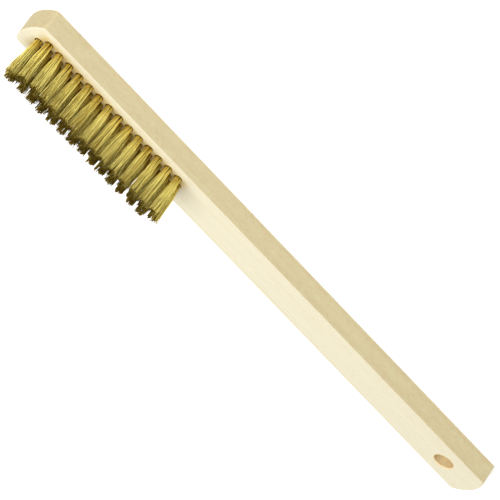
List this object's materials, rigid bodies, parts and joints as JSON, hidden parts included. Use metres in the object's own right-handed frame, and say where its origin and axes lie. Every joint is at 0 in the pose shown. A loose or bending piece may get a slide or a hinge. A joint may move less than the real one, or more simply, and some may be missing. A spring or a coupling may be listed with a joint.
{
  "type": "wire brush",
  "caption": "Hand wire brush: a flat beech handle with arched ends and a hang hole, and brass wire tufts in three staggered rows under the nose end.",
  "frame": {"origin": "middle of the flat back face of the handle, which is the bottom of the bounding box: the brush lies on its back with the bristles up", "axes": "+X along the handle from the butt with the hang hole to the nose with the bristles, +Y across the handle, +Z the way the bristles point"},
  "size_m": [0.29, 0.0228, 0.0309],
  "materials": {
    "beech": "bare beech, planed and sanded",
    "brass_wire": "bright drawn wire",
    "anchor_steel": "plain flat wire"
  },
  "bodies": {
    "root": {"handle": "beech", "wire_tuft_right_01": "brass_wire", "wire_tuft_right_02": "brass_wire", "wire_tuft_right_03": "brass_wire", "wire_tuft_right_04": "brass_wire", "wire_tuft_right_05": "brass_wire", "wire_tuft_right_06": "brass_wire", "wire_tuft_right_07": "brass_wire", "wire_tuft_right_08": "brass_wire", "wire_tuft_right_09": "brass_wire", "wire_tuft_right_10": "brass_wire", "wire_tuft_right_11": "brass_wire", "wire_tuft_right_12": "brass_wire", "wire_tuft_right_13": "brass_wire", "wire_tuft_right_14": "brass_wire", "wire_tuft_middle_01": "brass_wire", "wire_tuft_middle_02": "brass_wire", "wire_tuft_middle_03": "brass_wire", "wire_tuft_middle_04": "brass_wire", "wire_tuft_middle_05": "brass_wire", "wire_tuft_middle_06": "brass_wire", "wire_tuft_middle_07": "brass_wire", "wire_tuft_middle_08": "brass_wire", "wire_tuft_middle_09": "brass_wire", "wire_tuft_middle_10": "brass_wire", "wire_tuft_middle_11": "brass_wire", "wire_tuft_middle_12": "brass_wire", "wire_tuft_middle_13": "brass_wire", "wire_tuft_middle_14": "brass_wire", "wire_tuft_middle_15": "brass_wire", "wire_tuft_left_01": "brass_wire", "wire_tuft_left_02": "brass_wire", "wire_tuft_left_03": "brass_wire", "wire_tuft_left_04": "brass_wire", "wire_tuft_left_05": "brass_wire", "wire_tuft_left_06": "brass_wire", "wire_tuft_left_07": "brass_wire", "wire_tuft_left_08": "brass_wire", "wire_tuft_left_09": "brass_wire", "wire_tuft_left_10": "brass_wire", "wire_tuft_left_11": "brass_wire", "wire_tuft_left_12": "brass_wire", "wire_tuft_left_13": "brass_wire", "wire_tuft_left_14": "brass_wire"}
  },
  "joints": []
}
